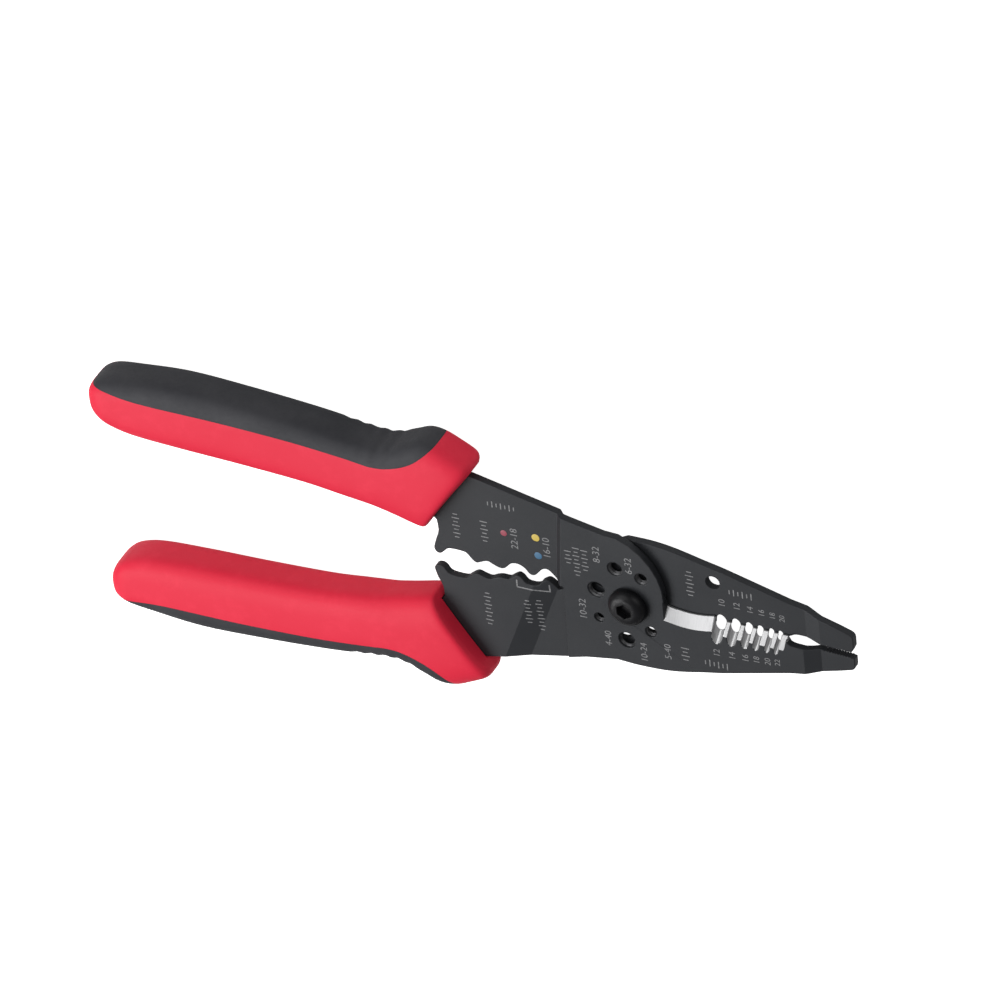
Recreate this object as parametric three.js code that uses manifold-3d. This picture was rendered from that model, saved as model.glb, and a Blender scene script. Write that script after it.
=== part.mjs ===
// A wire stripper and crimper: two joggled steel plates that turn on one screw, with two-colour grips.
// Millimetres. +X runs from the pivot to the nose, +Y is the upper handle's side and +Z leaves the
// front face. The origin is on the pivot axis, level with the surface that the tool lies on.
import * as THREE from "three";
import { mergeVertices } from "three/addons/utils/BufferGeometryUtils.js";
import Module from "manifold-3d";

const wasm = await Module();
wasm.setup();

// Overall sizes
const NOSE_REACH = 63.6; // pivot to the tip of the nose
const HANDLE_REACH = 154; // pivot to the end of the grips
const GRIP_THICKNESS = 14;

// Plates and how they lap
const PLATE_THICKNESS = 2.2;
const LAP_GAP = 0.3; // between the two plates at the pivot
const FIT = 0.3; // between pieces that touch
const HIDDEN_SHOULDER = 18.4; // radius of the rear plate's edge that turns inside the front plate's step

// Joggles: each plate steps from the lap to the middle over `run`, from a line between two points.
const FRONT_STEP = { foot: { x: -17.8, y: 23.5 }, head: { x: -19.9, y: 0.8 }, run: 1.4 };
const REAR_STEP = { foot: { x: -30.9, y: 24.5 }, head: { x: -20.6, y: -1 }, run: 6 };
const NOSE_STEP = { share: 0.24, run: 4.5 }; // on both plates, square to the nose

// Pivot screw, washer and nut
const SCREW_RADIUS = 3;
const HEAD_RADIUS = 5.4;
const HEAD_HEIGHT = 3.3;
const SOCKET_ACROSS_FLATS = 4;
const SOCKET_DEPTH = 2;
const WASHER_RADIUS = 6.2;
const WASHER_THICKNESS = 0.9;
const NUT_ACROSS_FLATS = 10;

// Cutting edges and stripping notches
const EDGE_Y = 0.25; // how far each cutting edge stands past the centre line
const EDGE_LAND = 0.15; // flat left on a ground edge
const BEVEL_WIDTH = 3.6; // how far the ground bevel runs back from the edge
const BLADE = { from: 10.1, to: 23.6, hollow: 0.9 }; // the blade's edge dips by `hollow` in its middle
const LANDS_START = 24.2;
const LANDS_END = 44.7; // right end of the stripping lands
const NOTCHES = [
  { x: 25.55, width: 3.1 },
  { x: 29.7, width: 2.6 },
  { x: 33.4, width: 2.1 },
  { x: 36.6, width: 1.75 },
  { x: 39.75, width: 1.5 },
  { x: 42.3, width: 1.25 },
];
const NOTCH_LEAN = 0.17; // how far a notch's groove moves left for each millimetre down the jaw

// Holes through the plates: places on the front plate, and thread radii
const BOLT_HOLES = [
  { x: -3.2, y: 10.8, radius: 2.1 },
  { x: 4.2, y: 9.4, radius: 1.75 },
  { x: -9.2, y: 2.6, radius: 2.4 },
  { x: -9.1, y: -6.5, radius: 1.4 },
  { x: -1.6, y: -12, radius: 2.4 },
  { x: 5.7, y: -7.4, radius: 1.6 },
];
const SHEAR_ANGLE = 12; // the bolt holes line up when the jaws are open by this many degrees
const SHEAR_CLEARANCE = 0.2; // extra radius of the rear plate's bolt holes
const LOOP_HOLE = { x: 23.7, y: -11.6, radius: 1.95 }; // bends wire ends, on the rear plate

// Nose
const NOSE_BASE = 45.2; // left end of the eye behind the nose
const TEETH = 10;
const TOOTH_DEPTH = 0.35;
const REAR_TOOTH_DEPTH = 0.1; // the rear plate's teeth are fine
const TOOTH_TIP = -1.45; // front plate's gripping line, at its first tooth
const TOOTH_BACK = -1.1; // and at its last
const CLOSE_ANGLE = 1.2; // how far the rest pose is open, in degrees
const CLOSED_GAP = 0.12; // left between the gripping lines when the jaws are closed

// Grips
const GUARD_REACH = 76; // pivot to the back of the guards
const GRIP_ROUND = 4.5; // how far the grip's rounding runs in from its sides
const GRIP_FLAT = 3.6; // half-height of the flat on the grip's sides
const FRONT_HOLLOW = 0.3; // how far the grip's front edge is dished
const TANG_MARGIN = 14; // grip left past the end of the tang

const MID = GRIP_THICKNESS / 2;
const STEP = (PLATE_THICKNESS + LAP_GAP) / 2; // from the lap level to the middle
const OUTER_FACE = LAP_GAP / 2 + PLATE_THICKNESS; // the lap's outer face, from the mating plane
const FAR = 400; // larger than anything here

const point = (x, y) => new THREE.Vector2(x, y);

// A distance from the pivot past the guard, as a share of the rest of the handle.
const along = (share) => -(GUARD_REACH + share * (HANDLE_REACH - GUARD_REACH));

// A distance along the nose, as a share of its length from the eye to the tip.
const noseX = (share) => NOSE_BASE + share * (NOSE_REACH - NOSE_BASE);

// How far a blade's cutting edge stands past the centre line.
function bladeEdge(x) {
  const middle = (BLADE.from + BLADE.to) / 2;
  return EDGE_Y + BLADE.hollow * ((x - middle) / (BLADE.to - middle)) ** 2;
}

// Places along the blade, from its right end.
const BLADE_STEPS = 8;
const bladeX = (step) => BLADE.to + (step / BLADE_STEPS) * (BLADE.from - BLADE.to);

// Booleans

function solid(geometry) {
  const bare = new THREE.BufferGeometry();
  bare.setAttribute("position", geometry.getAttribute("position"));
  if (geometry.index) bare.setIndex(geometry.index);
  const merged = mergeVertices(bare, 1e-4);
  return new wasm.Manifold(
    new wasm.Mesh({
      numProp: 3,
      vertProperties: merged.attributes.position.array,
      triVerts: new Uint32Array(merged.index.array),
    }),
  );
}

function geometryOf(manifold) {
  const mesh = manifold.getMesh();
  const geometry = new THREE.BufferGeometry();
  geometry.setAttribute("position", new THREE.BufferAttribute(mesh.vertProperties, 3));
  geometry.setIndex(new THREE.BufferAttribute(mesh.triVerts, 1));
  geometry.computeVertexNormals();
  return geometry;
}

// Shapes

// A flat outline raised from z = bottom to z = top.
function prism(shape, bottom, top, curveSegments = 3) {
  const geometry = new THREE.ExtrudeGeometry(shape, {
    depth: top - bottom,
    bevelEnabled: false,
    curveSegments,
  });
  return solid(geometry.translate(0, 0, bottom));
}

function upright(x, y, radius, bottom, top, sides = 24) {
  const height = top - bottom;
  const cylinder = new THREE.CylinderGeometry(radius, radius, height, sides);
  return solid(cylinder.rotateX(Math.PI / 2).translate(x, y, bottom + height / 2));
}

// A cylinder between two points.
function rod(from, to, radius, sides = 20) {
  const axis = new THREE.Vector3().subVectors(to, from);
  const cylinder = new THREE.CylinderGeometry(radius, radius, axis.length(), sides);
  const turn = new THREE.Quaternion().setFromUnitVectors(
    new THREE.Vector3(0, 1, 0),
    axis.clone().normalize(),
  );
  const middle = new THREE.Vector3().addVectors(from, to).multiplyScalar(0.5);
  return solid(cylinder.applyQuaternion(turn).translate(middle.x, middle.y, middle.z));
}

function hexPrism(acrossFlats, bottom, top) {
  return upright(0, 0, acrossFlats / Math.sqrt(3), bottom, top, 6);
}

// A closed skin through rings of points, with a flat fan on the first ring and on the last.
function loft(rings) {
  const size = rings[0].length;
  const centre = (ring) =>
    ring.reduce((sum, p) => sum.add(p), new THREE.Vector3()).divideScalar(ring.length);
  const vertices = [...rings.flat(), centre(rings[0]), centre(rings.at(-1))];
  const index = [];
  for (let k = 0; k < rings.length - 1; k++) {
    for (let i = 0; i < size; i++) {
      const a = k * size + i;
      const b = k * size + ((i + 1) % size);
      index.push(a, b, a + size, b, b + size, a + size);
    }
  }
  const lastRing = (rings.length - 1) * size;
  const firstCentre = rings.length * size;
  for (let i = 0; i < size; i++) {
    const next = (i + 1) % size;
    index.push(firstCentre, next, i);
    index.push(firstCentre + 1, lastRing + i, lastRing + next);
  }
  const geometry = new THREE.BufferGeometry().setFromPoints(vertices);
  geometry.setIndex(index);
  return solid(geometry);
}

// Points of a closed outline moved outward, each along the mitre of its two edges.
function grown(points, distance) {
  const turn = Math.sign(THREE.ShapeUtils.area(points));
  return points.map((p, i) => {
    const before = points.at(i - 1);
    const after = points[(i + 1) % points.length];
    const a = p.clone().sub(before).normalize();
    const b = after.clone().sub(p).normalize();
    const mitre = point(a.y + b.y, -a.x - b.x).multiplyScalar(turn / (1 + a.dot(b)));
    return p.clone().addScaledVector(mitre, distance);
  });
}

// Plates. Both are drawn as the front plate lies: handle up, jaw down, mating plane at z = 0 and the
// outer face at +z. The rear plate is then turned over about X.

// The tang inside the grip, from the die's left side round its end to the arm's outer edge.
function tangOutline() {
  const end = -(HANDLE_REACH - TANG_MARGIN);
  return [
    point(end, 30.6),
    point(end, 25.6),
    point(-80, 21.6),
    point(-66, 19.6),
    point(-58.6, 16.4),
    point(-55.2, 12.6),
    point(-44, 12.6),
    point(-44, 29.6),
    point(-52, 29.8),
    point(-62, 27.4),
    point(-72, 26.6),
  ];
}

// The front plate's crimping edge, from the arm's left side to the pivot boss.
const UPPER_DIE = [
  [-55, 9.2],
  [-55.9, 6.4],
  [-56.8, 3.5],
  [-56.5, 2.1],
  [-55.6, 1.5],
  [-54.6, 1.9],
  [-53, 3.5],
  [-51.6, 3.95],
  [-48.4, 3.95],
  [-47.2, 3.5],
  [-45.8, 1.9],
  [-44.6, 1.2],
  [-43.2, 1.8],
  [-41.3, 2.5],
  [-39.4, 1.7],
  [-37.6, 1.2],
  [-36.2, 1.7],
  [-34.4, 3.5],
  [-32.4, 3.9],
  [-30.6, 3.1],
  [-29.4, 1.7],
  [-28.4, 1.3],
  [-27.3, 1.8],
  [-25.3, 4],
  [-23.7, 4.3],
  [-22.2, 3.1],
  [-20.3, 0.9],
];

// The rear plate's crimping edge, turned over as the plate is drawn.
const LOWER_DIE = [
  [-55.4, 9.2],
  [-56.6, 6.4],
  [-57.3, 3.7],
  [-56.6, 2.6],
  [-55.3, 2.4],
  [-54.2, 3],
  [-52.8, 4.6],
  [-48.6, 4.8],
  [-47.2, 3.9],
  [-45.8, 2.8],
  [-44.6, 2.4],
  [-43, 2.9],
  [-41.2, 3.2],
  [-39.6, 2.4],
  [-37.9, 1.85],
  [-35.7, 1.8],
  [-34.5, 0.9],
  [-32.9, -0.1],
  [-31.6, 0.5],
  [-30.3, 1.9],
  [-27.2, 1.85],
  [-26.1, 0.6],
  [-24.5, -0.3],
  [-23.3, 0.4],
  [-21.6, 2.5],
];

// Each plate's side of the eye, from the teeth to the lands: shares of the nose, and y as drawn.
const FRONT_EYE = [
  [0.435, -1.15],
  [0.315, -1.5],
  [0.18, -1.5],
  [0.08, -1.4],
  [0.02, -1],
  [0, -0.3],
];
const REAR_EYE = [
  [0.44, -0.25],
  [0.29, -0.65],
  [0.13, -0.75],
  [0.05, -0.5],
  [0.01, -0.05],
];

// A plate's outline. `die` is its crimping edge, `boss` its edge from the die to the jaw, and
// `toothSide` and `eye` its inner edge from the tip to the lands.
function plateOutline(die, boss, toothSide, eye) {
  const [front, ...rest] = tangOutline().slice(0, 6);
  const armTop = tangOutline().slice(7);
  const shape = new THREE.Shape();
  shape.moveTo(front.x, front.y);
  rest.forEach((p) => shape.lineTo(p.x, p.y));
  shape.splineThru(die.map(([x, y]) => point(x, y)));
  boss(shape);
  shape.splineThru([
    point(5, -19.5),
    point(10, -19.1),
    point(15, -18.2),
    point(20, -17),
    point(26, -15.7),
    point(36, -13),
    point(noseX(0), -10.5),
  ]);
  shape.lineTo(noseX(0.28), -9.5);
  shape.lineTo(noseX(0.76), -6.9);
  shape.lineTo(noseX(0.94), -5.8);
  shape.quadraticCurveTo(NOSE_REACH, -5.4, NOSE_REACH, -4.2);
  toothSide(shape);
  shape.splineThru(eye.map(([share, y]) => point(noseX(share), y)));
  shape.lineTo(LANDS_END, EDGE_Y);
  shape.lineTo(LANDS_START, EDGE_Y);
  for (let i = 0; i <= BLADE_STEPS; i++) shape.lineTo(bladeX(i), bladeEdge(bladeX(i)));
  shape.lineTo(10.2, 3);
  shape.absarc(-8.1, 3.8, 18.3, -0.044, 1.24, false);
  shape.lineTo(-6.3, 21.3);
  shape.lineTo(-15.3, 23.1);
  shape.lineTo(-20.5, 24.3);
  armTop.forEach((p) => shape.lineTo(p.x, p.y));
  return shape;
}

// The front plate's boss covers the rear plate's step, and ends in a straight edge.
function frontBoss(shape) {
  shape.lineTo(-19, 0.8);
  shape.lineTo(-19.4, -22.5);
  shape.lineTo(-14, -20.9);
  shape.lineTo(-5, -19.3);
  shape.lineTo(0, -19.6);
}

// The rear plate's boss is round about the pivot, so it turns inside the front plate's step.
function rearBoss(shape) {
  const start = Math.atan2(1.2, -HIDDEN_SHOULDER);
  const end = Math.atan2(-HIDDEN_SHOULDER, -3);
  shape.absarc(0, 0, HIDDEN_SHOULDER, start, end + 2 * Math.PI, false);
  shape.lineTo(-0.7, -19.4);
}

// Cross-cut teeth from the tip back to the flat behind the eye, on a line from `tip` to `back`, `depth`
// deep. The tip's inner corner is cut off by `corner`.
const FIRST_TOOTH = 0.96;
const LAST_TOOTH = 0.545;

function toothLine(tip, back, depth, corner) {
  return (shape) => {
    const first = noseX(FIRST_TOOTH);
    const last = noseX(LAST_TOOTH);
    const pitch = (first - last) / TEETH;
    const level = (x) => tip + ((back - tip) * (first - x)) / (first - last);
    shape.lineTo(NOSE_REACH, level(first) - corner);
    for (let i = 0; i < TEETH; i++) {
      const x = first - i * pitch;
      shape.lineTo(x, level(x) - depth);
      shape.lineTo(x - pitch / 2, level(x - pitch / 2));
    }
    shape.lineTo(last, level(last) - depth);
    shape.lineTo(noseX(0.5), level(last));
  };
}

// A side-on band, square to the direction `lean` away from Y, that steps from the lap to the middle
// on one side: the plate's level from `from` to `to` along the band's own x.
function band(profile, lean, anchor) {
  const shape = new THREE.Shape(profile.map(([x, z]) => point(x, z)));
  const geometry = new THREE.ExtrudeGeometry(shape, { depth: 2 * FAR, bevelEnabled: false });
  geometry.translate(0, 0, -FAR).rotateX(Math.PI / 2);
  return solid(geometry.rotateZ(lean).translate(anchor.x, anchor.y, 0));
}

// The level of a plate on both sides of a step: `side` is -1 where the middle level is at -x.
function steppedBand(side, anchor, reach, run, lean = 0) {
  const low = LAP_GAP / 2;
  const profile = [
    [side * FAR, low - STEP],
    [side * run, low - STEP],
    [0, low],
    [-side * reach, low],
    [-side * reach, low + PLATE_THICKNESS],
    [0, low + PLATE_THICKNESS],
    [side * run, low + PLATE_THICKNESS - STEP],
    [side * FAR, low + PLATE_THICKNESS - STEP],
  ];
  return band(profile, lean, anchor);
}

// A plate's bands: its crimp joggle and the nose's.
function joggles({ foot, head, run }) {
  const lean = Math.atan2(head.x - foot.x, foot.y - head.y);
  const noseStep = noseX(NOSE_STEP.share);
  return [
    steppedBand(-1, head, -head.x + 20, run, lean),
    steppedBand(1, point(noseStep, 0), noseStep, NOSE_STEP.run),
  ];
}

// The ground bevel over the cutting edge and the lands, as the wedge that it removes.
function bevelWedge() {
  const top = OUTER_FACE + 1;
  const slope = (OUTER_FACE - LAP_GAP / 2 - EDGE_LAND) / BEVEL_WIDTH;
  const ring = (x, edge, lean) =>
    [
      [edge - BEVEL_WIDTH - 1 / slope, top],
      [edge, LAP_GAP / 2 + EDGE_LAND],
      [edge + 2, LAP_GAP / 2 + EDGE_LAND],
      [edge + 2, top],
    ].map(([y, z]) => new THREE.Vector3(x + lean * (y - edge), y, z));
  const rings = [ring(BLADE.from - 0.1, bladeEdge(BLADE.from), 0)];
  for (let i = BLADE_STEPS - 1; i >= 0; i--) rings.push(ring(bladeX(i), bladeEdge(bladeX(i)), 0));
  rings.push(ring(LANDS_START, EDGE_Y, 0), ring(LANDS_END, EDGE_Y, NOTCH_LEAN));
  return loft(rings);
}

// A notch and the groove behind it: a cylinder that lies along the bevel. `sink` lowers it.
function notchCutter({ x, width }, sink) {
  const rise = (OUTER_FACE - LAP_GAP / 2) / BEVEL_WIDTH;
  const place = (run) =>
    new THREE.Vector3(x - NOTCH_LEAN * run, EDGE_Y - sink - run, LAP_GAP / 2 + rise * run);
  return rod(place(-6), place(BEVEL_WIDTH + 8), width / 2);
}

function plate(outline, step, holes, sinkOf) {
  let made = prism(outline, -OUTER_FACE, OUTER_FACE, 3);
  made = made.intersect(joggles(step).reduce((all, next) => all.add(next)));
  made = made.subtract(bevelWedge());
  for (const notch of NOTCHES) made = made.subtract(notchCutter(notch, sinkOf(notch.width)));
  for (const { x, y, radius } of holes) {
    made = made.subtract(upright(x, y, radius, -MID, MID));
  }
  return made;
}

const PIVOT_HOLE = { x: 0, y: 0, radius: SCREW_RADIUS + FIT };

function frontPlate() {
  const teeth = toothLine(TOOTH_TIP, TOOTH_BACK, TOOTH_DEPTH, TOOTH_DEPTH);
  const outline = plateOutline(UPPER_DIE, frontBoss, teeth, FRONT_EYE);
  const sink = (width) => 0.4 * (NOTCHES[0].width - width);
  return plate(outline, FRONT_STEP, [PIVOT_HOLE, ...BOLT_HOLES], sink);
}

function rearPlate() {
  // The rest pose stands open, so the rear plate's teeth lie on a line that closing turns parallel.
  const opening = Math.tan(THREE.MathUtils.degToRad(CLOSE_ANGLE));
  const facing = (front, share) => -(front + CLOSED_GAP + noseX(share) * opening);
  const tip = facing(TOOTH_TIP, FIRST_TOOTH);
  const teeth = toothLine(tip, facing(TOOTH_BACK, LAST_TOOTH), REAR_TOOTH_DEPTH, 1.7);
  const outline = plateOutline(LOWER_DIE, rearBoss, teeth, REAR_EYE);
  const turn = THREE.MathUtils.degToRad(SHEAR_ANGLE);
  const boltHoles = BOLT_HOLES.map(({ x, y, radius }) => {
    const turned = point(x, y).rotateAround(point(0, 0), -turn);
    return { x: turned.x, y: -turned.y, radius: radius + SHEAR_CLEARANCE };
  });
  const sink = (width) => -(width / 2 - 0.3);
  return plate(outline, REAR_STEP, [PIVOT_HOLE, LOOP_HOLE, ...boltHoles], sink);
}

// Grips. Each is drawn as the upper grip lies, and the lower one is turned over about X.

// Stations from the front edge to the end: inner x and y, outer x and y, and half-height.
const GRIP_STATIONS = [
  [-57, 11.7, -42.6, 32.2, 5],
  [-57.6, 11.3, -42.7, 33.7, 6.2],
  [-58.8, 11.4, -43.8, 35.2, 6.8],
  [-61.5, 12.1, -47.5, 37.2, MID],
  [-65.5, 13.2, -52, 39.3, MID],
  [-69, 14.1, -56.2, 39.7, MID],
  [-72, 14.9, -60.5, 37.9, MID],
  [-76, 15.6, -66, 35.6, MID],
  [-81, 16.3, -73, 35.3, MID],
  [along(0.2), 17.6, along(0.18), 37.3, MID],
  [along(0.44), 18.6, along(0.44), 38.9, MID],
  [along(0.66), 19.2, along(0.66), 39.6, MID],
  [along(0.84), 20.2, along(0.84), 38.3, MID],
  [along(0.93), 22.2, along(0.93), 37.2, MID],
  [along(0.975), 24.8, along(0.975), 35.6, MID - 0.8],
  [along(0.994), 27.6, along(0.994), 33.6, MID - 2.2],
  [along(1), 29.4, along(1), 31.9, MID - 3.6],
];
const STATION_STEPS = 2;

// The edge between the two colours, seen from above, from the end to the front.
const PAD_EDGE = [
  [along(1) - 5, 35.8],
  [along(0.95), 35],
  [along(0.8), 33.5],
  [along(0.5), 33.2],
  [along(0.22), 32.3],
  [-78, 30.9],
  [-70, 30],
  [-64, 31],
  [-58, 33.8],
  [-53, 38],
  [-50, 41],
];

// A ring round the grip from its inner edge to its outer edge. `bow` hollows it towards the end.
function gripRing([innerX, innerY, outerX, outerY, half], bow) {
  const inner = new THREE.Vector3(innerX, innerY, 0);
  const outer = new THREE.Vector3(outerX, outerY, 0);
  const width = inner.distanceTo(outer);
  const across = outer.clone().sub(inner).normalize();
  const back = new THREE.Vector3(-across.y, across.x, 0);
  const round = Math.min(GRIP_ROUND, width / 2.2);
  const high = Math.min(half - 1, half * (1 - GRIP_FLAT / MID));
  const ring = [];
  for (let corner = 0; corner < 4; corner++) {
    const right = corner === 0 || corner === 3 ? 1 : -1;
    const up = corner < 2 ? 1 : -1;
    for (let i = 0; i <= 3; i++) {
      const turn = ((corner + i / 3) * Math.PI) / 2;
      const t = width / 2 + right * (width / 2 - round) + Math.cos(turn) * round;
      const z = up * (half - high) + Math.sin(turn) * high;
      const hollow = (4 * bow * t * (width - t)) / (width * width);
      const place = inner.clone().addScaledVector(across, t).addScaledVector(back, hollow);
      ring.push(place.setZ(z));
    }
  }
  return ring;
}

function gripBlank() {
  const columns = [0, 1, 2, 3, 4].map((c) => GRIP_STATIONS.map((station) => station[c]));
  const rings = [];
  const steps = (GRIP_STATIONS.length - 1) * STATION_STEPS;
  for (let k = 0; k <= steps; k++) {
    const t = k / STATION_STEPS;
    const station = columns.map((values) => splineValue(values, t));
    station[4] = Math.min(station[4], MID);
    rings.push(gripRing(station, FRONT_HOLLOW * Math.max(0, 1 - t / 6)));
  }
  return loft(rings.reverse());
}

// A value between listed ones, on a Catmull-Rom curve.
function splineValue(values, t) {
  const k = Math.min(Math.floor(t), values.length - 2);
  const u = t - k;
  const p1 = values[k];
  const p2 = values[k + 1];
  const p0 = values[Math.max(k - 1, 0)];
  const p3 = values[Math.min(k + 2, values.length - 1)];
  const slope1 = (p2 - p0) / 2;
  const slope2 = (p3 - p1) / 2;
  const u2 = u * u;
  const u3 = u2 * u;
  return (
    (2 * u3 - 3 * u2 + 1) * p1 + (u3 - 2 * u2 + u) * slope1 + (3 * u2 - 2 * u3) * p2 + (u3 - u2) * slope2
  );
}

// Everything on the outer side of the colour edge, moved by `shift` towards the outside.
function padSide(shift) {
  const shape = new THREE.Shape();
  shape.moveTo(PAD_EDGE[0][0], 80);
  shape.lineTo(PAD_EDGE[0][0], PAD_EDGE[0][1] + shift);
  shape.splineThru(PAD_EDGE.slice(1).map(([x, y]) => point(x, y + shift)));
  shape.lineTo(PAD_EDGE.at(-1)[0], 80);
  return prism(shape, -MID - 1, MID + 1, 2);
}

function gripBody() {
  const slot = new THREE.Shape(grown(tangOutline(), FIT));
  const half = PLATE_THICKNESS / 2 + FIT;
  return gripBlank().subtract(padSide(-FIT / 2)).subtract(prism(slot, -half, half));
}

function gripPad() {
  return gripBlank().intersect(padSide(FIT / 2));
}

// Pivot. The screw runs down through both plates, the washer and the nut.

const HEAD_SEAT = OUTER_FACE + FIT;

function pivotScrew() {
  const shaft = upright(0, 0, SCREW_RADIUS, -MID, HEAD_SEAT + 0.5, 32);
  const rim = HEAD_SEAT + HEAD_HEIGHT * 0.55;
  const dome = HEAD_HEIGHT * 0.45;
  const profile = [point(0, HEAD_SEAT), point(HEAD_RADIUS, HEAD_SEAT), point(HEAD_RADIUS, rim)];
  for (let i = 1; i <= 5; i++) {
    const turn = (i / 5) * (Math.PI / 2);
    profile.push(point(HEAD_RADIUS * Math.cos(turn), rim + dome * Math.sin(turn)));
  }
  profile[profile.length - 1].x = 0;
  const head = solid(new THREE.LatheGeometry(profile, 40).rotateX(Math.PI / 2));
  const top = HEAD_SEAT + HEAD_HEIGHT;
  return shaft.add(head).subtract(hexPrism(SOCKET_ACROSS_FLATS, top - SOCKET_DEPTH, top + 1));
}

const WASHER_TOP = -OUTER_FACE - FIT;
const WASHER_BOTTOM = WASHER_TOP - WASHER_THICKNESS;

function pivotWasher() {
  const disc = upright(0, 0, WASHER_RADIUS, WASHER_BOTTOM, WASHER_TOP, 40);
  return disc.subtract(upright(0, 0, SCREW_RADIUS + FIT, -MID, 0));
}

function pivotNut() {
  const block = hexPrism(NUT_ACROSS_FLATS, -MID + FIT, WASHER_BOTTOM - FIT);
  return block.subtract(upright(0, 0, SCREW_RADIUS + FIT, -MID, 0));
}

// Assembly

const blackOxide = new THREE.MeshStandardMaterial({ color: 0x40413f, roughness: 0.55, metalness: 0.7 });
const screwSteel = new THREE.MeshStandardMaterial({ color: 0x232326, roughness: 0.4, metalness: 0.8 });
const redGrip = new THREE.MeshStandardMaterial({ color: 0xd8323e, roughness: 0.5, metalness: 0 });
const blackPad = new THREE.MeshStandardMaterial({ color: 0x2e2f33, roughness: 0.65, metalness: 0 });

function node(name, manifold, material) {
  const mesh = new THREE.Mesh(geometryOf(manifold), material);
  mesh.name = name;
  return mesh;
}

const frontHalf = new THREE.Group();
frontHalf.add(node("front_plate", frontPlate(), blackOxide));
frontHalf.add(node("upper_grip_body", gripBody(), redGrip));
frontHalf.add(node("upper_grip_pad", gripPad(), blackPad));
frontHalf.add(node("pivot_screw", pivotScrew(), screwSteel));
frontHalf.add(node("pivot_washer", pivotWasher(), screwSteel));
frontHalf.add(node("pivot_nut", pivotNut(), screwSteel));

const rearHalf = new THREE.Group();
rearHalf.add(node("rear_plate", rearPlate(), blackOxide));
rearHalf.add(node("lower_grip_body", gripBody(), redGrip));
rearHalf.add(node("lower_grip_pad", gripPad(), blackPad));
rearHalf.rotation.x = Math.PI;

const tool = new THREE.Group();
tool.add(frontHalf, rearHalf);
tool.position.z = MID;

export default tool;
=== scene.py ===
"""A wire stripper and crimper: two black steel plates on one pivot screw, with red and black grips."""

from math import cos, pi, radians, sin

import bmesh
import bpy
from mathutils import Euler, Matrix, Vector
from mathutils.bvhtree import BVHTree


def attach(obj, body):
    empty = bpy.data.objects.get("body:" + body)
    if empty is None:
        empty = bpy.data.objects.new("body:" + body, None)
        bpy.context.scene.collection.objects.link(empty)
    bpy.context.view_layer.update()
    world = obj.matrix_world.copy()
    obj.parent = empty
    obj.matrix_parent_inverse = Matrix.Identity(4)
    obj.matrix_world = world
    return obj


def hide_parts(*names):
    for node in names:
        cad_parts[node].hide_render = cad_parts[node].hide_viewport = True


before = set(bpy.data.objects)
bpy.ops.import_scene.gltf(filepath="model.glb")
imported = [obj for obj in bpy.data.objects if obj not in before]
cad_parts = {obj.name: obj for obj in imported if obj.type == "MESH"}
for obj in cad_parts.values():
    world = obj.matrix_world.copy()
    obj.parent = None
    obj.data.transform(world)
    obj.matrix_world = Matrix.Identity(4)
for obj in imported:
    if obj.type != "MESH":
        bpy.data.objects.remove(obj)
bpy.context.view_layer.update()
MM = 0.001

# ---------------------------------------------------------------------------------------------------
# The view: a long lens over the front face, with the handles to the left and the nose to the right.
# The tool lies on its grips on a pale studio floor.

AIM = Vector((-34.92, 25.19, 9.35)) * MM
VIEW_AZIMUTH = radians(56.7)
VIEW_ELEVATION = radians(44.0)
VIEW_ROLL = radians(-142.6)
VIEW_DISTANCE = 3.1034
LENS = 432
LIT_ROOM = 0.2
FLOOR_HALF = 6

towards_camera = Vector(
    (
        cos(VIEW_ELEVATION) * cos(VIEW_AZIMUTH),
        cos(VIEW_ELEVATION) * sin(VIEW_AZIMUTH),
        sin(VIEW_ELEVATION),
    )
)
camera_data = bpy.data.cameras.new("camera")
camera_data.lens = LENS
camera_data.sensor_width = 36
camera_data.clip_end = 20
camera = bpy.data.objects.new("camera", camera_data)
level_view = towards_camera.to_track_quat("Z", "Y").to_matrix().to_4x4()
camera.matrix_world = (
    Matrix.Translation(AIM + towards_camera * VIEW_DISTANCE)
    @ level_view
    @ Matrix.Rotation(VIEW_ROLL, 4, "Z")
)
bpy.context.collection.objects.link(camera)
bpy.context.scene.camera = camera


def area_light(name, azimuth, elevation, distance, size, power):
    """A soft square light that looks at the pivot from a direction in degrees."""
    data = bpy.data.lights.new(name, "AREA")
    data.energy = power
    data.size = size
    light = bpy.data.objects.new(name, data)
    place = Euler((0, -radians(elevation), radians(azimuth))).to_matrix() @ Vector((distance, 0, 0))
    light.matrix_world = Matrix.Translation(place) @ place.to_track_quat("Z", "Y").to_matrix().to_4x4()
    bpy.context.collection.objects.link(light)


area_light("key_light", azimuth=205, elevation=50, distance=0.95, size=0.55, power=7.0)
area_light("side_light", azimuth=135, elevation=50, distance=1.0, size=0.8, power=4.5)
area_light("fill_light", azimuth=45, elevation=28, distance=1.0, size=0.6, power=2.0)

world = bpy.data.worlds.new("studio")
world.use_nodes = True
background = world.node_tree.nodes["Background"]
background.inputs["Color"].default_value = (1, 1, 1, 1)
background.inputs["Strength"].default_value = LIT_ROOM
bpy.context.scene.world = world
bpy.context.scene.view_settings.view_transform = "Standard"


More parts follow.
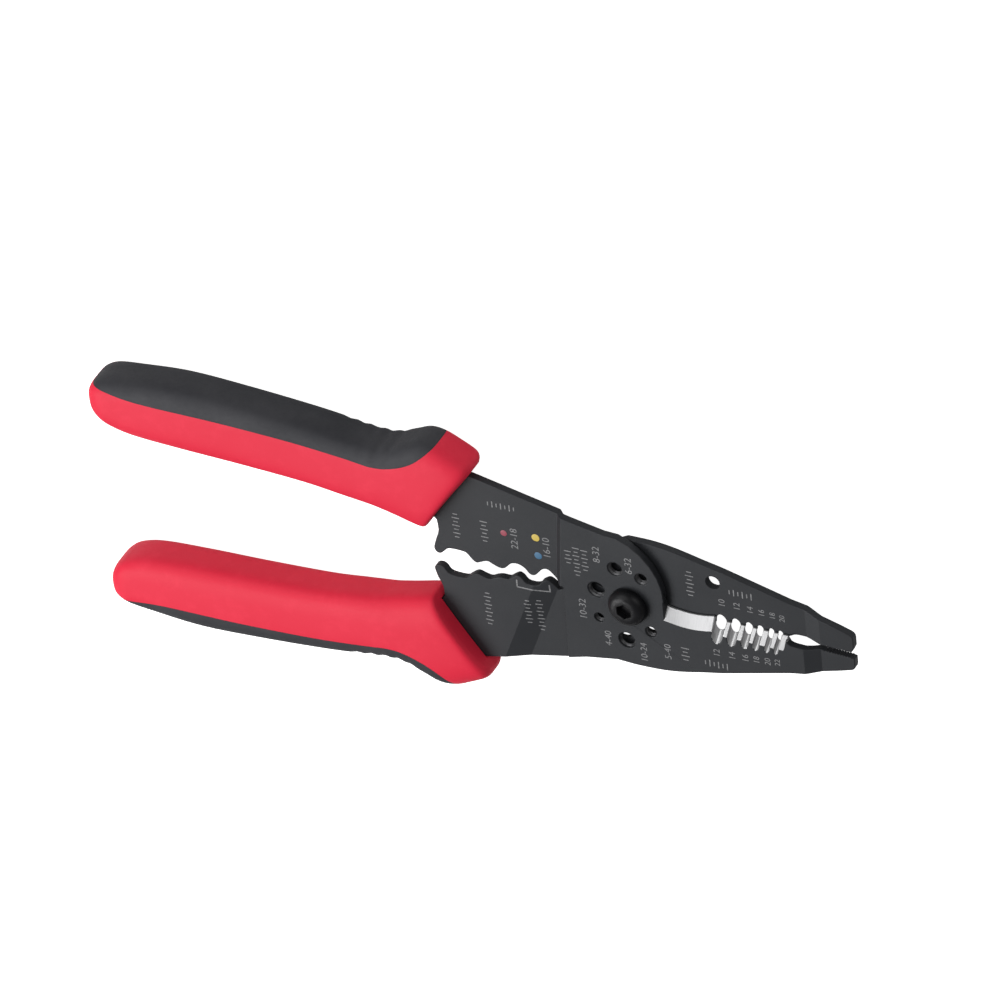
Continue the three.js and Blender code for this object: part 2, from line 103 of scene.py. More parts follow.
class Value:
    """A shader socket that can be used in an expression. Each operator adds a Math node."""

    def __init__(self, tree, socket):
        self.tree = tree
        self.socket = socket

    def node(self, kind, settings=None, inputs=None, output=0):
        made = self.tree.nodes.new("ShaderNode" + kind)
        for name, setting in (settings or {}).items():
            setattr(made, name, setting)
        for name, value in (inputs or {}).items():
            if isinstance(value, Value):
                self.tree.links.new(value.socket, made.inputs[name])
            else:
                made.inputs[name].default_value = value
        return Value(self.tree, made.outputs[output])

    def maths(self, operation, other):
        return self.node("Math", {"operation": operation}, {0: self, 1: other})

    def __add__(self, other):
        return self.maths("ADD", other)

    def __mul__(self, other):
        return self.maths("MULTIPLY", other)

    __radd__ = __add__
    __rmul__ = __mul__

    def between(self, low, high):
        """0 below low, 1 above high, and straight between them."""
        settings = {"clamp": True}
        return self.node("MapRange", settings, {"Value": self, "From Min": low, "From Max": high})

    def noise(self, scale, detail=2.0, roughness=0.5, stretch=(1, 1, 1)):
        """Noise over a piece, where this value is its place; scale counts features in a metre."""
        place = self.node("Mapping", {}, {"Vector": self, "Scale": stretch})
        inputs = {"Vector": place, "Scale": scale, "Detail": detail, "Roughness": roughness}
        return self.node("TexNoise", {}, inputs)

    def colours(self, dark, light):
        """A colour between two, by this value."""
        inputs = {0: self, 6: (*dark, 1), 7: (*light, 1)}
        return self.node("Mix", {"data_type": "RGBA"}, inputs, output=2)


def finish_of(name, build, **fixed):
    """A material: `build` returns the varying inputs of its shader, and `fixed` sets the others."""
    material = bpy.data.materials.new(name)
    material.use_nodes = True
    tree = material.node_tree
    shader = tree.nodes["Principled BSDF"]
    for socket, value in fixed.items():
        shader.inputs[socket.replace("_", " ")].default_value = value
    place = Value(tree, tree.nodes.new("ShaderNodeTexCoord").outputs["Object"])
    for socket, value in build(place).items():
        target = shader.inputs[socket.replace("_", " ")]
        if isinstance(value, Value):
            tree.links.new(value.socket, target)
        else:
            target.default_value = value
    return material


def bumped(height, strength, distance):
    """The normal of a surface with this height, as a share of a distance in metres."""
    return height.node("Bump", {}, {"Height": height, "Strength": strength, "Distance": distance})


def object_of(name, mesh):
    """A mesh as an object in the scene."""
    data = bpy.data.meshes.new(name)
    mesh.to_mesh(data)
    mesh.free()
    made = bpy.data.objects.new(name, data)
    bpy.context.collection.objects.link(made)
    return made


def pale_floor(place):
    """A pale table that looks white, and throws only a little light back up at the tool."""
    seen = place.node("LightPath")
    return {
        "Base_Color": place.noise(3, 2).colours((0.58, 0.58, 0.58), (0.62, 0.62, 0.62)),
        "Emission_Color": seen.colours((0.1, 0.1, 0.1), (1, 1, 1)),
    }


floor_mesh = bmesh.new()
bmesh.ops.create_grid(floor_mesh, x_segments=1, y_segments=1, size=FLOOR_HALF)
floor = object_of("floor", floor_mesh)
floor_paint = finish_of("pale_floor", pale_floor, Roughness=0.7, Emission_Strength=1.0)
floor.data.materials.append(floor_paint)

# ---------------------------------------------------------------------------------------------------
# The two plates: 2.2 mm steel, blanked and joggled in a press, ground bright along the cutting edge
# and the stripping notches, and blackened everywhere else. The press leaves a rolled edge.

ROLLED_EDGE = 0.28 * MM
CUTTING = (9.9 * MM, 45.0 * MM)
NOTCH_DEPTH = 7.2 * MM
EDGE_HOLLOW = 1.3 * MM
BLADE_ROOT = 11 * MM
SQUARE_TO_AXIS = 0.995
END_OF_BLADE = 0.999


def node_copy(name):
    """A CAD node's mesh, with its triangles welded into whole faces."""
    mesh = bmesh.new()
    mesh.from_mesh(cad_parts[name].data)
    bmesh.ops.remove_doubles(mesh, verts=mesh.verts, dist=0.002 * MM)
    bmesh.ops.dissolve_degenerate(mesh, dist=0.01 * MM, edges=mesh.edges)
    bmesh.ops.dissolve_limit(mesh, angle_limit=radians(1.5), verts=mesh.verts, edges=mesh.edges)
    return mesh


def piece(name, mesh, body, slot, *materials, replaces=()):
    """A finished mesh as an object that rides on a body."""
    made = object_of(name, mesh)
    for material in materials:
        made.data.materials.append(material)
    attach(made, body)
    if replaces:
        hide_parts(*replaces)
    return made


def black_oxide(place):
    """Matt black, unevenly taken up by the steel, over a fine blasted grain."""
    mottle = place.noise(45, 4, 0.6)
    grain = place.noise(2600, 3, 0.6)
    cloud = place.noise(9, 2)
    tone = mottle * 0.6 + cloud * 0.4
    return {
        "Base_Color": tone.between(0.3, 0.7).colours((0.018, 0.0195, 0.0225), (0.0285, 0.03, 0.0335)),
        "Roughness": grain.between(0.3, 0.7) * 0.14 + 0.42,
        "Normal": bumped(grain, 0.35, 0.02 * MM),
    }


def ground_steel(place):
    """Bright steel with the grinding wheel's streaks."""
    streaks = place.noise(900, 3, 0.7, stretch=(3.2, 0.25, 0.25))
    wear = place.noise(120, 3)
    tone = streaks * 0.6 + wear * 0.4
    return {
        "Base_Color": tone.between(0.3, 0.7).colours((0.33, 0.33, 0.335), (0.5, 0.5, 0.505)),
        "Roughness": streaks.between(0.3, 0.7) * 0.2 + 0.3,
        "Normal": bumped(streaks, 0.25, 0.03 * MM),
    }


black_steel = finish_of("black_oxide_steel", black_oxide, Metallic=0.1, Specular_IOR_Level=0.2)
bright_steel = finish_of("ground_steel", ground_steel, Metallic=0.75)


def is_ground(face, side):
    """Whether a face belongs to the cutting edge's bevel, a notch or its groove."""
    centre = face.calc_center_median()
    across = centre.y * side
    inside = CUTTING[0] < centre.x < CUTTING[1] and -NOTCH_DEPTH < across < EDGE_HOLLOW
    flat = abs(face.normal.z) > SQUARE_TO_AXIS
    root_wall = abs(face.normal.x) > END_OF_BLADE and centre.x < BLADE_ROOT
    return inside and not flat and not root_wall


def plate(name, body, side):
    """A plate, whose ground edge lies on the side of Y that is given."""
    mesh = node_copy(name)
    for face in mesh.faces:
        face.material_index = 1 if is_ground(face, side) else 0
        face.smooth = True
    made = piece(name + "_steel", mesh, body, "black_steel", black_steel, bright_steel, replaces=[name])
    made.data.set_sharp_from_angle(angle=radians(14))
    rolled = made.modifiers.new("rolled_edge", "BEVEL")
    rolled.width = ROLLED_EDGE
    rolled.segments = 3
    rolled.limit_method = "ANGLE"
    rolled.angle_limit = radians(38)
    rolled.use_clamp_overlap = False
    rolled.harden_normals = True
    return made


plate("front_plate", "front_half", 1)
plate("rear_plate", "rear_half", -1)

# ---------------------------------------------------------------------------------------------------
# Threads tapped in the front plate's six bolt holes. A bolt is screwed in and the rear plate shears
# it, so the crests are worn bright. Each thread is a stack of ridges, spun round the hole's axis.

PLATE_BACK = 7.15 * MM
PLATE_FACE = 9.35 * MM
CHAMFERS = 0.3 * MM
RING_SUNK = 0.05
ROOT_PROUD = 0.02
# Each thread's name, and its hole's centre, radius and pitch.
BOLT_THREADS = {
    "thread_8_32": ((-3.2, 10.8), 2.1, 0.79),
    "thread_6_32": ((4.2, 9.4), 1.75, 0.79),
    "thread_10_32": ((-9.2, 2.6), 2.4, 0.79),
    "thread_4_40": ((-9.1, -6.5), 1.4, 0.635),
    "thread_10_24": ((-1.6, -12), 2.4, 1.06),
    "thread_5_40": ((5.7, -7.4), 1.6, 0.635),
}


def worn_thread(place):
    """Dark oxide, worn bright in places by bolts."""
    wear = place.noise(700, 3)
    return {
        "Base_Color": wear.between(0.35, 0.65).colours((0.03, 0.03, 0.033), (0.12, 0.12, 0.125)),
        "Roughness": wear * 0.3 + 0.2,
    }


thread_steel = finish_of("worn_thread_steel", worn_thread, Metallic=0.6)


def spun(profile, steps):
    """A closed outline of (radius, height), spun once round Z."""
    mesh = bmesh.new()
    corners = [mesh.verts.new((radius, 0, height)) for radius, height in profile]
    face = mesh.faces.new(corners)
    outline = list(face.edges)
    bmesh.ops.delete(mesh, geom=[face], context="FACES_ONLY")
    bmesh.ops.spin(
        mesh, geom=outline, axis=(0, 0, 1), cent=(0, 0, 0), steps=steps, angle=2 * pi, use_merge=True
    )
    bmesh.ops.remove_doubles(mesh, verts=mesh.verts, dist=0.0005 * MM)
    bmesh.ops.recalc_face_normals(mesh, faces=mesh.faces)
    return mesh


for name, (centre, radius, pitch) in BOLT_THREADS.items():
    turns = int((PLATE_FACE - PLATE_BACK - CHAMFERS) / (pitch * MM))
    start = (PLATE_FACE + PLATE_BACK) / 2 - turns * pitch * MM / 2
    wall = (radius + RING_SUNK) * MM
    root = (radius - ROOT_PROUD) * MM
    crest = (radius - 0.5 * pitch) * MM
    profile = [(wall, start)]
    for turn in range(turns):
        for reach, share in ((root, 0.04), (crest, 0.44), (crest, 0.56), (root, 0.96)):
            profile.append((reach, start + (turn + share) * pitch * MM))
    profile.append((wall, start + turns * pitch * MM))
    mesh = spun(profile, steps=40)
    bmesh.ops.translate(mesh, verts=mesh.verts, vec=(centre[0] * MM, centre[1] * MM, 0))
    piece(name, mesh, "front_half", "black_steel", thread_steel)

# ---------------------------------------------------------------------------------------------------
# The grips: a red moulded handle on each tang with a guard at its front, and a black pad of softer
# rubber moulded along its outer side, ridged behind the guard for the forefinger.

GRIP_HALF = 7.0
GRIP_END = -154.0
GUARD_BACK = -76.0


def along(share):
    """A place behind the guard, as a share of the rest of the handle."""
    return GUARD_BACK + share * (GRIP_END - GUARD_BACK)


# From the front edge to the end: inner x and y, outer x and y, and half the thickness.
GRIP_STATIONS = [
    (-57.0, 11.7, -42.6, 32.2, 5.0),
    (-57.6, 11.3, -42.7, 33.7, 6.2),
    (-58.8, 11.4, -43.8, 35.2, 6.8),
    (-61.5, 12.1, -47.5, 37.2, GRIP_HALF),
    (-65.5, 13.2, -52.0, 39.3, GRIP_HALF),
    (-69.0, 14.1, -56.2, 39.7, GRIP_HALF),
    (-72.0, 14.9, -60.5, 37.9, GRIP_HALF),
    (GUARD_BACK, 15.6, -66.0, 35.6, GRIP_HALF),
    (-81.0, 16.3, -73.0, 35.3, GRIP_HALF),
    (along(0.2), 17.6, along(0.18), 37.3, GRIP_HALF),
    (along(0.44), 18.6, along(0.44), 38.9, GRIP_HALF),
    (along(0.66), 19.2, along(0.66), 39.6, GRIP_HALF),
    (along(0.84), 20.2, along(0.84), 38.3, GRIP_HALF),
    (along(0.93), 22.2, along(0.93), 37.2, GRIP_HALF),
    (along(0.975), 24.8, along(0.975), 35.6, 6.2),
    (along(0.994), 27.6, along(0.994), 33.6, 4.8),
    (along(1), 29.4, along(1), 31.9, 3.4),
]
# The line between the two colours, from past the end to past the guard.
PAD_EDGE = [
    (GRIP_END - 5, 35.8),
    (along(0.95), 35.0),
    (along(0.8), 33.5),
    (along(0.5), 33.2),
    (along(0.22), 32.3),
    (-78, 30.9),
    (-70, 30.0),
    (-64, 31.0),
    (-58, 33.8),
    (-53, 38.0),
    (-50, 41.0),
]
TANG_END = GRIP_END + 14
# The slot that the plate's tang fills, open at the guard.
TANG = [
    (TANG_END, 30.6),
    (TANG_END, 25.6),
    (-80, 21.6),
    (-66, 19.6),
    (-58.6, 16.4),
    (-55.4, 12.3),
    (-43.7, 12.3),
    (-43.7, 29.9),
    (-52, 30.1),
    (-62, 27.7),
    (-72, 26.9),
]
TANG_SLOT_HALF = 1.35 * MM
SECTION_POWER = 3.6
FRONT_HOLLOW = 0.3
HOLLOW_STATIONS = 6
RIDGES = (-83.0, -62.5)
RIDGE_FADE = 3
RIDGE_PITCH = 4.1
RIDGE_DEPTH = 0.5
ROUND_STEPS = 72
STEPS_PER_STATION = 8
CUTTER_HALF = 9 * MM
CUTTER_SIDE = 80


def spline(values, t):
    """A value between listed ones, on a Catmull-Rom curve."""
    k = min(int(t), len(values) - 2)
    u = t - k
    before, here, after, beyond = (
        values[max(k - 1, 0)],
        values[k],
        values[k + 1],
        values[min(k + 2, len(values) - 1)],
    )
    bend = (after - before) * u + (2 * before - 5 * here + 4 * after - beyond) * u * u
    return here + 0.5 * (bend + (3 * here - before - 3 * after + beyond) * u**3)


def smooth_step(value, low, high):
    """0 below low, 1 above high, and a soft S between them."""
    share = min(max((value - low) / (high - low), 0), 1)
    return share * share * (3 - 2 * share)


def ridge_depth(x):
    """How deep the outer side is sunk at a place, to leave ridges for the forefinger."""
    start, end = RIDGES
    fade_in = smooth_step(x, start, start + RIDGE_FADE)
    fade_out = 1 - smooth_step(x, end - RIDGE_FADE, end)
    wave = 0.5 - 0.5 * cos(2 * pi * (x - start) / RIDGE_PITCH)
    return RIDGE_DEPTH * fade_in * fade_out * wave


def grip_point(turn, t):
    """A point of the grip's skin: `turn` goes round the section from its outer side."""
    columns = list(zip(*GRIP_STATIONS))
    inner_x, inner_y, outer_x, outer_y, half = (spline(column, t) for column in columns)
    inner = Vector((inner_x, inner_y, 0))
    outer = Vector((outer_x, outer_y, 0))
    across = outer - inner
    back = Vector((-across.y, across.x, 0)).normalized()
    out = abs(cos(turn)) ** (2 / SECTION_POWER) * (1 if cos(turn) > 0 else -1)
    up = abs(sin(turn)) ** (2 / SECTION_POWER) * (1 if sin(turn) > 0 else -1)
    hollow = FRONT_HOLLOW * max(0, 1 - t / HOLLOW_STATIONS) * (1 - out * out)
    place = (inner + outer) / 2 + across * out / 2 + back * hollow
    place -= across.normalized() * ridge_depth(place.x) * smooth_step(out, 0.15, 0.8)
    return Vector((place.x * MM, place.y * MM, min(half, GRIP_HALF) * up * MM))


def grip_blank():
    """The whole grip, red body and pad together: a grid wrapped round the stations and closed."""
    stations = len(GRIP_STATIONS) - 1
    mesh = bmesh.new()
    rows = stations * STEPS_PER_STATION
    bmesh.ops.create_grid(mesh, x_segments=ROUND_STEPS, y_segments=rows, size=1)
    for corner in mesh.verts:
        turn = (corner.co.x + 0.5 / ROUND_STEPS) * pi
        corner.co = grip_point(turn, (corner.co.y + 1) / 2 * stations)
    bmesh.ops.remove_doubles(mesh, verts=mesh.verts, dist=0.001 * MM)
    bmesh.ops.holes_fill(mesh, edges=[edge for edge in mesh.edges if edge.is_boundary], sides=0)
    bmesh.ops.triangulate(mesh, faces=[face for face in mesh.faces if len(face.verts) > 4])
    bmesh.ops.recalc_face_normals(mesh, faces=mesh.faces)
    return mesh


def prism(points, half):
    """An outline raised both ways from the middle of the tool's thickness."""
    mesh = bmesh.new()
    face = mesh.faces.new([mesh.verts.new((x * MM, y * MM, -half)) for x, y in points])
    raised = bmesh.ops.extrude_face_region(mesh, geom=[face])["geom"]
    corners = [item for item in raised if isinstance(item, bmesh.types.BMVert)]
    bmesh.ops.translate(mesh, verts=corners, vec=(0, 0, 2 * half))
    bmesh.ops.recalc_face_normals(mesh, faces=mesh.faces)
    return mesh


def pad_side(shift):
    """The outline of everything outside the line between the two colours."""
    columns = list(zip(*PAD_EDGE))
    steps = [k / 6 for k in range(6 * (len(PAD_EDGE) - 1) + 1)]
    edge = [(spline(columns[0], t), spline(columns[1], t) + shift) for t in steps]
    return [(PAD_EDGE[0][0], CUTTER_SIDE), *edge, (PAD_EDGE[-1][0], CUTTER_SIDE)]


def carved(mesh, *cuts):
    """The mesh after its boolean cuts, each an operation and the mesh it is made with."""
    blank = object_of("blank", mesh)
    cutters = []
    for operation, cutter_mesh in cuts:
        cutters.append(object_of("cutter", cutter_mesh))
        cut = blank.modifiers.new("cut", "BOOLEAN")
        cut.operation = operation
        cut.solver = "EXACT"
        cut.object = cutters[-1]
    bpy.context.view_layer.update()
    result = bmesh.new()
    result.from_object(blank, bpy.context.evaluated_depsgraph_get())
    for used in (blank, *cutters):
        bpy.data.objects.remove(used)
    return result


def moulded_red(place):
    """Red plastic with a fine moulded grain and faint scuffs."""
    grain = place.noise(2100, 3, 0.6)
    cloud = place.noise(26, 3)
    scuff = place.noise(170, 4, 0.7).between(0.5, 0.8)
    tone = cloud * 0.7 + scuff * 0.3
    return {
        "Base_Color": tone.between(0.25, 0.75).colours((0.66, 0.022, 0.05), (0.74, 0.034, 0.068)),
        "Roughness": grain.between(0.3, 0.7) * 0.12 + 0.42,
        "Normal": bumped(grain, 0.3, 0.025 * MM),
    }


def soft_black(place):
    """Softer, duller black rubber."""
    grain = place.noise(1500, 4, 0.65)
    cloud = place.noise(60, 4, 0.6)
    return {
        "Base_Color": cloud.between(0.3, 0.7).colours((0.029, 0.0295, 0.034), (0.046, 0.046, 0.051)),
        "Roughness": grain.between(0.3, 0.7) * 0.15 + 0.5,
        "Normal": bumped(grain, 0.5, 0.04 * MM),
    }


red_rubber = finish_of("red_moulded_grip", moulded_red, Specular_IOR_Level=0.12)
black_rubber = finish_of("black_soft_pad", soft_black, Specular_IOR_Level=0.15)

SEAM = 0.015
CREASE = radians(40)
for which, body, turned in (("upper", "front_half", 0), ("lower", "rear_half", pi)):
    handle = carved(
        grip_blank(),
        ("DIFFERENCE", prism(pad_side(-SEAM), CUTTER_HALF)),
        ("DIFFERENCE", prism(TANG, TANG_SLOT_HALF)),
    )
    pad = carved(grip_blank(), ("INTERSECT", prism(pad_side(SEAM), CUTTER_HALF)))
    place = Matrix.Translation((0, 0, GRIP_HALF * MM)) @ Matrix.Rotation(turned, 4, "X")
    for mesh in (handle, pad):
        bmesh.ops.transform(mesh, matrix=place, verts=mesh.verts)
        for face in mesh.faces:
            face.smooth = True
    node = which + "_grip_body"
    made = piece(which + "_handle", handle, body, "red_grip", red_rubber, replaces=[node])
    made.data.set_sharp_from_angle(angle=CREASE)
    node = which + "_grip_pad"
    made = piece(which + "_pad", pad, body, "black_pad", black_rubber, replaces=[node])
    made.data.set_sharp_from_angle(angle=CREASE)

# ---------------------------------------------------------------------------------------------------
# The pivot screw: a blackened button-head screw with a hexagon socket, spun to shape. A washer and a
# thin nut hold it behind the rear plate, and its end lies level with the grips' undersides.

HEAD_SEAT = PLATE_FACE + 0.02 * MM
HEAD_TOP = 12.65 * MM
HEAD_RADIUS = 5.4 * MM
CROWN_RADIUS = 2.75 * MM
RIM_HEIGHT = 0.9 * MM
RIM_CHAMFER = 0.25 * MM
SHANK_RADIUS = 3 * MM
END_CHAMFER = 0.35 * MM
SOCKET_FLATS = 4 * MM
SOCKET_FLOOR = 10.7 * MM
DOME_STEPS = 10
TURNED_CREASE = radians(32)


def screw_black(place):
    grain = place.noise(1800, 3)
    cloud = place.noise(150, 3)
    return {
        "Base_Color": cloud.between(0.3, 0.7).colours((0.006, 0.006, 0.007), (0.013, 0.013, 0.0145)),
        "Roughness": grain.between(0.3, 0.7) * 0.15 + 0.28,
        "Normal": bumped(grain, 0.2, 0.01 * MM),
    }


black_screw = finish_of("black_screw_steel", screw_black, Metallic=0.2, Specular_IOR_Level=0.18)


def head_profile():
    """The head's outline, from the crown down over the dome and rim to the shank and its end."""
    profile = [(0, HEAD_TOP), (CROWN_RADIUS, HEAD_TOP)]
    rise = HEAD_TOP - HEAD_SEAT - RIM_HEIGHT
    for k in range(1, DOME_STEPS + 1):
        turn = k / DOME_STEPS * pi / 2
        radius = CROWN_RADIUS + (HEAD_RADIUS - CROWN_RADIUS) * sin(turn)
        profile.append((radius, HEAD_SEAT + RIM_HEIGHT + rise * cos(turn)))
    profile += [
        (HEAD_RADIUS, HEAD_SEAT + RIM_CHAMFER),
        (HEAD_RADIUS - RIM_CHAMFER, HEAD_SEAT),
        (SHANK_RADIUS, HEAD_SEAT),
        (SHANK_RADIUS, END_CHAMFER),
        (SHANK_RADIUS - END_CHAMFER, 0),
        (0, 0),
    ]
    return profile


def hexagon(flats, low, high):
    """A hexagonal prism by its width across flats."""
    mesh = bmesh.new()
    corner = flats / 3**0.5
    place = Matrix.Translation((0, 0, (low + high) / 2))
    size = {"radius1": corner, "radius2": corner, "depth": high - low, "matrix": place}
    bmesh.ops.create_cone(mesh, cap_ends=True, segments=6, **size)
    return mesh


def turned_piece(name, mesh, node):
    """A smooth turned piece of blackened steel on the front plate's side."""
    for face in mesh.faces:
        face.smooth = True
    made = piece(name, mesh, "front_half", "screw_steel", black_screw, replaces=[node])
    made.data.set_sharp_from_angle(angle=TURNED_CREASE)
    return made


socket = hexagon(SOCKET_FLATS, SOCKET_FLOOR, SOCKET_FLOOR + 4 * MM)
screw_mesh = carved(spun(head_profile(), steps=96), ("DIFFERENCE", socket))
screw = turned_piece("button_head_screw", screw_mesh, "pivot_screw")
softened = screw.modifiers.new("softened", "BEVEL")
softened.width = 0.12 * MM
softened.segments = 2
softened.limit_method = "ANGLE"
softened.angle_limit = radians(40)
softened.harden_normals = True

WASHER_LOW = 3.45 * MM
WASHER_HIGH = 4.35 * MM
WASHER_BORE = 3.3 * MM
WASHER_RADIUS = 6.2 * MM
NUT_LOW = 0.3 * MM
NUT_HIGH = 3.15 * MM
NUT_BORE = 3.15 * MM
NUT_FLATS = 10 * MM
NUT_CROWN = 4.75 * MM
PAST = 0.01 * MM


def chamfered_ring(bore, face_radius, radius, low, high, chamfer):
    """A ring whose outer corners are cut back to a smaller radius at its two faces."""
    profile = [
        (bore, low),
        (face_radius, low),
        (radius, low + chamfer),
        (radius, high - chamfer),
        (face_radius, high),
        (bore, high),
    ]
    return spun(profile, steps=72)


washer_chamfer = 0.15 * MM
washer_face = WASHER_RADIUS - washer_chamfer
washer_mesh = chamfered_ring(
    WASHER_BORE, washer_face, WASHER_RADIUS, WASHER_LOW, WASHER_HIGH, washer_chamfer
)
turned_piece("flat_washer", washer_mesh, "pivot_washer")

crown = chamfered_ring(NUT_BORE, NUT_CROWN, 6 * MM, NUT_LOW - PAST, NUT_HIGH + PAST, 0.71 * MM)
nut_mesh = carved(hexagon(NUT_FLATS, NUT_LOW, NUT_HIGH), ("INTERSECT", crown))
piece("thin_nut", nut_mesh, "front_half", "screw_steel", black_screw, replaces=["pivot_nut"])

# ---------------------------------------------------------------------------------------------------
# Markings: wire gauges, bolt sizes, a bracket and three coloured dots, printed as a thin film on the
# plates' front faces. Rows of short ticks stand where the real tool has words.

PAINT = 0.012 * MM


def grey_paint(place):
    """Pale grey print, worn thin in places."""
    worn = place.noise(1700, 4, 0.7)
    return {
        "Base_Color": worn.between(0.35, 0.6).colours((0.1, 0.1, 0.105), (0.22, 0.22, 0.225)),
        "Roughness": worn * 0.3 + 0.4,
    }


marking_paint = finish_of("grey_marking_paint", grey_paint)


def placed(mesh, x, y, turn):
    """A mark moved to its place, and turned to the way that it runs, in degrees."""
    place = Matrix.Translation((x * MM, y * MM, 0)) @ Matrix.Rotation(radians(turn), 4, "Z")
    bmesh.ops.transform(mesh, matrix=place, verts=mesh.verts)
    return mesh


def printed(text, x, y, size, turn):
    """Numerals centred on a place, as a thin film."""
    letters = bpy.data.curves.new("letters", "FONT")
    letters.body = text
    letters.size = size * MM
    letters.align_x = "CENTER"
    letters.align_y = "CENTER"
    letters.extrude = PAINT
    letters.resolution_u = 3
    source = bpy.data.objects.new("letters", letters)
    bpy.context.collection.objects.link(source)
    bpy.context.view_layer.update()
    mesh = bmesh.new()
    mesh.from_mesh(source.to_mesh())
    bpy.data.objects.remove(source)
    return placed(mesh, x, y, turn)


def bar(x0, x1, y0, y1):
    """A plain printed bar."""
    mesh = bmesh.new()
    bmesh.ops.create_cube(mesh, size=1)
    bmesh.ops.scale(mesh, vec=((x1 - x0) * MM, (y1 - y0) * MM, 2 * PAINT), verts=mesh.verts)
    centre = ((x0 + x1) / 2 * MM, (y0 + y1) / 2 * MM, 0)
    bmesh.ops.translate(mesh, vec=centre, verts=mesh.verts)
    upright_edges = [e for e in mesh.edges if abs(e.verts[0].co.z - e.verts[1].co.z) > PAINT]
    corner = min(x1 - x0, y1 - y0) / 2.2 * MM
    bmesh.ops.bevel(
        mesh, geom=upright_edges, offset=corner, segments=4, affect="EDGES", profile=0.5, material=-1
    )
    return mesh


def joined(meshes):
    """Several meshes as one."""
    whole = bmesh.new()
    for mesh in meshes:
        data = bpy.data.meshes.new("joined")
        mesh.to_mesh(data)
        mesh.free()
        whole.from_mesh(data)
        bpy.data.meshes.remove(data)
    return whole


TICK_PITCH = 1.25
TICK_WIDTH = 0.3
SHORT_TICK = 0.625


def tick_row(x, y, length, height, turn):
    """A row of short printed strokes, alternately tall and short, where the real tool has a word."""
    count = round(length / TICK_PITCH)
    strokes = []
    for k in range(count):
        along_row = (k - (count - 1) / 2) * TICK_PITCH
        half = height / 2 * (1 if k % 2 else SHORT_TICK)
        strokes.append(bar(along_row - TICK_WIDTH / 2, along_row + TICK_WIDTH / 2, -half, half))
    return placed(joined(strokes), x, y, turn)


# Numerals: their middle, their height, and the way that they read.
FRONT_MARKS = [
    ("22-18", -32.6, 12.2, 2.9, 90),
    ("16-10", -23.3, 11.6, 2.9, 90),
    ("8-32", -8.2, 14.3, 2.9, 90),
    ("6-32", 0.9, 12.9, 2.9, 90),
    ("10-32", -13.6, -4.8, 2.9, 90),
    ("4-40", -6.9, -12.7, 2.7, 90),
    ("10-24", 3.2, -14.7, 2.7, 90),
    ("5-40", 10.2, -12.6, 2.7, 90),
    ("12", 24.5, -9.2, 2.6, 90),
    ("14", 28.9, -9.0, 2.6, 90),
    ("16", 32.7, -8.8, 2.6, 90),
    ("18", 35.9, -8.5, 2.4, 90),
    ("20", 39.1, -8.2, 2.4, 90),
    ("22", 41.9, -7.8, 2.2, 90),
]
REAR_MARKS = [
    ("10", 25.9, 5.6, 2.6, 90),
    ("12", 30.2, 5.6, 2.6, 90),
    ("14", 34.0, 5.4, 2.5, 90),
    ("16", 37.2, 5.3, 2.4, 90),
    ("18", 40.3, 5.2, 2.3, 90),
    ("20", 43.0, 5.0, 2.2, 90),
]
# The bracket by the lower die: the ends of each bar, along X and along Y.
REAR_BRACKET = [
    (-33.4, -33.0, -3.6, -1.3),
    (-24.3, -23.9, -3.6, -1.3),
    (-33.4, -23.9, -3.8, -3.4),
]
# Rows of short ticks: the middle of the row, its length and height, and the way that it runs.
FRONT_TICKS = [
    (-35.7, 22.0, 8.6, 2.0, 0),
    (-49.5, 12.2, 8.8, 2.2, 90),
    (-41.3, 12.4, 8.0, 2.2, 90),
    (-16.6, 11.4, 5.4, 2.0, 90),
    (-14.2, 10.4, 9.8, 2.0, 90),
    (-11.8, 11.4, 7.0, 2.0, 90),
    (15.2, -12.1, 5.6, 2.4, 90),
    (24.0, -13.2, 7.4, 2.2, 0),
]
REAR_TICKS = [
    (17.0, 9.6, 8.2, 2.4, 90),
    (31.4, 9.8, 7.6, 2.2, 0),
    (-42.4, -13.2, 11.0, 2.2, 90),
    (-30.8, -11.4, 9.0, 2.0, 90),
    (-27.6, -12.2, 11.0, 2.0, 90),
]
REAR_JOGGLE = (-34.0, -21.0)
STRIP = 0.2
ABOVE = 100 * MM


def front_face_of(name):
    """A function that gives the height of a plate's front face over a place."""
    mesh = node_copy(name)
    tree = BVHTree.FromBMesh(mesh)
    mesh.free()
    return lambda x, y: tree.ray_cast(Vector((x, y, ABOVE)), Vector((0, 0, -1)))[0].z


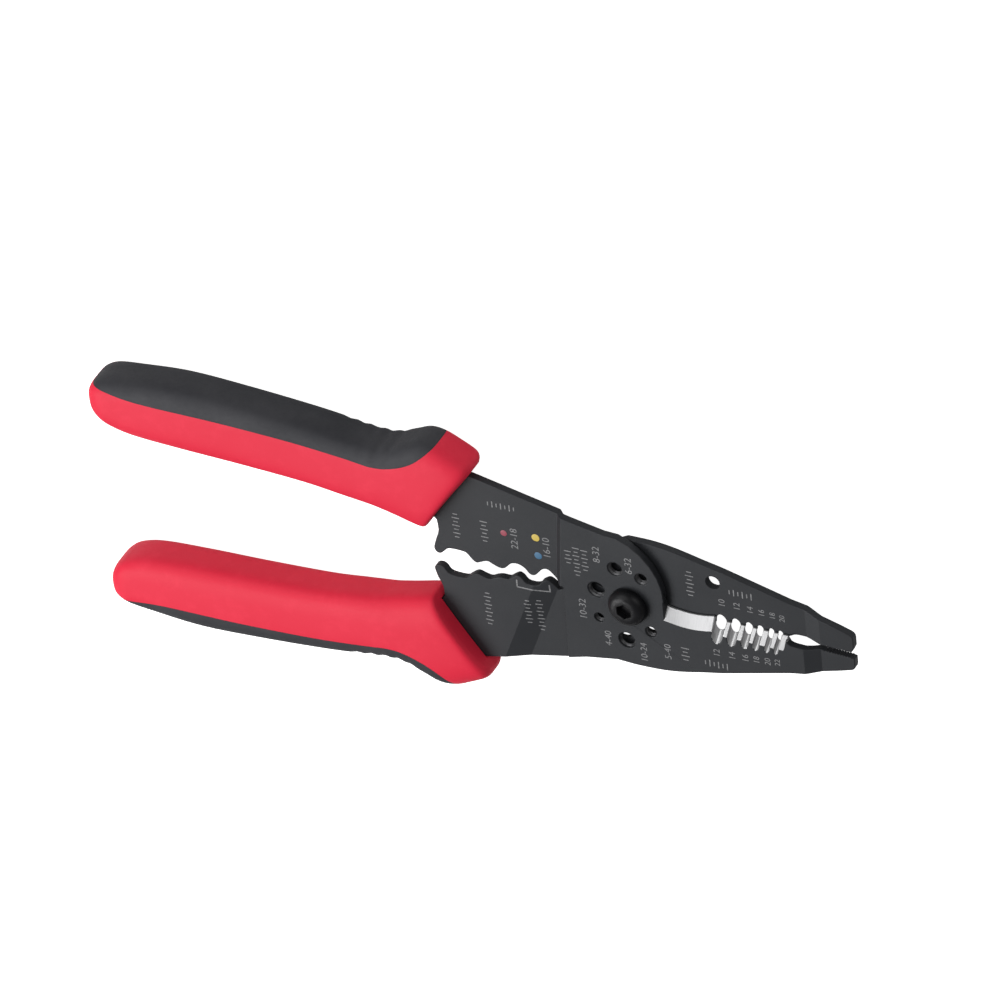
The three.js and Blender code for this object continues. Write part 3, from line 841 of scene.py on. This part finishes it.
def cut_in_strips(mesh, start, end):
    """Cuts marks into narrow strips between two places along X, so that they can bend there."""
    for k in range(round((end - start) / STRIP) + 1):
        cut = ((start + k * STRIP) * MM, 0, 0)
        whole = [*mesh.verts, *mesh.edges, *mesh.faces]
        bmesh.ops.bisect_plane(mesh, geom=whole, dist=0.0001 * MM, plane_co=cut, plane_no=(1, 0, 0))


for name, body, plate_name, marks, ticks, bars in (
    ("front_markings", "front_half", "front_plate", FRONT_MARKS, FRONT_TICKS, []),
    ("rear_markings", "rear_half", "rear_plate", REAR_MARKS, REAR_TICKS, REAR_BRACKET),
):
    rows = [tick_row(*row) for row in ticks]
    mesh = joined([printed(*mark) for mark in marks] + rows + [bar(*sizes) for sizes in bars])
    if name == "rear_markings":
        cut_in_strips(mesh, *REAR_JOGGLE)
    height = front_face_of(plate_name)
    for corner in mesh.verts:
        corner.co.z += height(corner.co.x, corner.co.y)
    piece(name, mesh, body, "black_steel", marking_paint)


def dot_paint(colour):
    """A colour code paint, a little uneven."""

    def build(place):
        dark = tuple(0.75 * part for part in colour)
        return {"Base_Color": place.noise(900, 3).colours(dark, colour), "Roughness": 0.45}

    return build


DOT_HEIGHT = 0.04
# Each dot's name, middle, radius and colour.
DOTS = [
    ("yellow_dot", -26.3, 14.2, 1.15, (0.62, 0.45, 0.06)),
    ("blue_dot", -26.05, 8.4, 1.1, (0.02, 0.12, 0.24)),
    ("red_dot", -35.6, 13.3, 0.95, (0.30, 0.03, 0.06)),
]
front_height = front_face_of("front_plate")
for name, x, y, radius, colour in DOTS:
    drop = bmesh.new()
    bmesh.ops.create_uvsphere(drop, u_segments=32, v_segments=12, radius=radius * MM)
    bmesh.ops.scale(drop, vec=(1, 1, DOT_HEIGHT), verts=drop.verts)
    seat = (x * MM, y * MM, front_height(x * MM, y * MM))
    bmesh.ops.translate(drop, vec=seat, verts=drop.verts)
    for face in drop.faces:
        face.smooth = True
    paint = finish_of(name + "_paint", dot_paint(colour))
    piece(name, drop, "front_half", "black_steel", paint)
